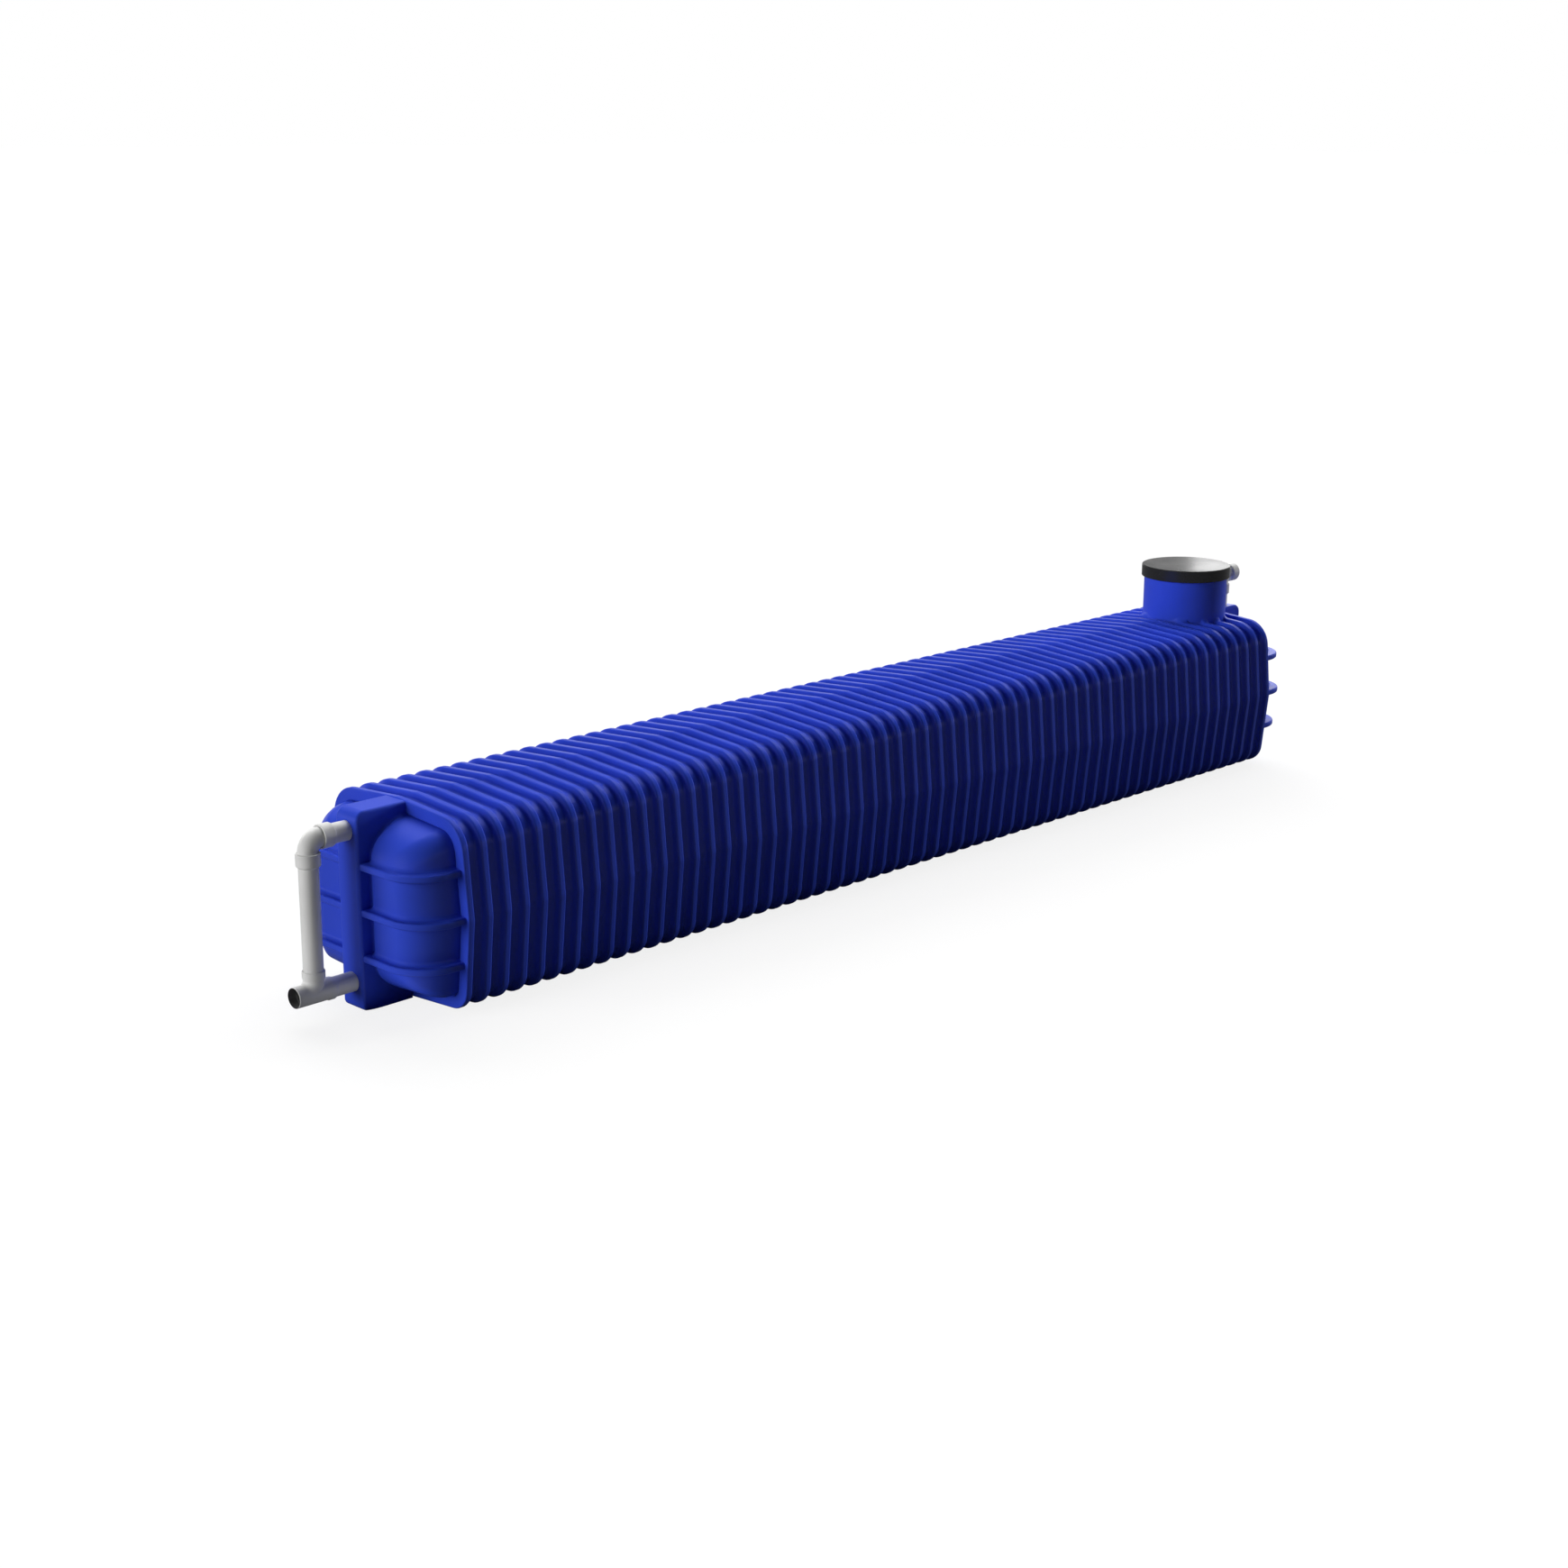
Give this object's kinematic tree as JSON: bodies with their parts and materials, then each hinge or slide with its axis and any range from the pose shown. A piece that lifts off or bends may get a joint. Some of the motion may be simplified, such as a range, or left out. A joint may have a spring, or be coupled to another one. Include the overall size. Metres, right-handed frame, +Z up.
{
  "type": "underground storage tank",
  "caption": "Long ribbed buried water tank with domed, finned ends, a manhole shaft with a lift-off lid, and socketed inlet, overflow and outlet pipes.",
  "frame": {"origin": "middle of the overall box, on the floor the tank stands on", "axes": "+X along the tank from the outlet end to the manhole end, +Y across it to the back, +Z up"},
  "size_m": [8.509, 1.212, 1.4773],
  "materials": {
    "tank_plastic": "satin moulded polyethylene",
    "pipe_plastic": "smooth drain pipe",
    "lid_plastic": "satin black"
  },
  "bodies": {
    "tank": {"back_wall_1": "tank_plastic", "back_wall_2": "tank_plastic", "back_wall_3": "tank_plastic", "back_wall_4": "tank_plastic", "back_wall_5": "tank_plastic", "far_back_dome": "tank_plastic", "far_back_fins": "tank_plastic", "far_front_dome": "tank_plastic", "far_front_fins": "tank_plastic", "far_rim": "tank_plastic", "far_spine": "tank_plastic", "floor_1": "tank_plastic", "floor_2": "tank_plastic", "floor_3": "tank_plastic", "floor_4": "tank_plastic", "floor_5": "tank_plastic", "front_wall_1": "tank_plastic", "front_wall_2": "tank_plastic", "front_wall_3": "tank_plastic", "front_wall_4": "tank_plastic", "front_wall_5": "tank_plastic", "inlet_elbow": "pipe_plastic", "inlet_pipe": "pipe_plastic", "manhole_roof": "tank_plastic", "near_back_dome": "tank_plastic", "near_back_fins": "tank_plastic", "near_front_dome": "tank_plastic", "near_front_fins": "tank_plastic", "near_rim": "tank_plastic", "near_spine": "tank_plastic", "outlet_stub": "pipe_plastic", "outlet_tee": "pipe_plastic", "overflow_downpipe": "pipe_plastic", "overflow_elbow": "pipe_plastic", "overflow_stub": "pipe_plastic", "roof_1": "tank_plastic", "roof_2": "tank_plastic", "roof_3": "tank_plastic", "roof_4": "tank_plastic", "roof_5": "tank_plastic", "shaft_back": "tank_plastic", "shaft_far": "tank_plastic", "shaft_front": "tank_plastic", "shaft_near": "tank_plastic"},
    "lid": {"manhole_lid": "lid_plastic"}
  },
  "joints": [
    {"name": "lid_lift", "type": "slide", "parent": "tank", "child": "lid", "axis": [0, 0, 1], "range_m": [0, 0.25]}
  ]
}
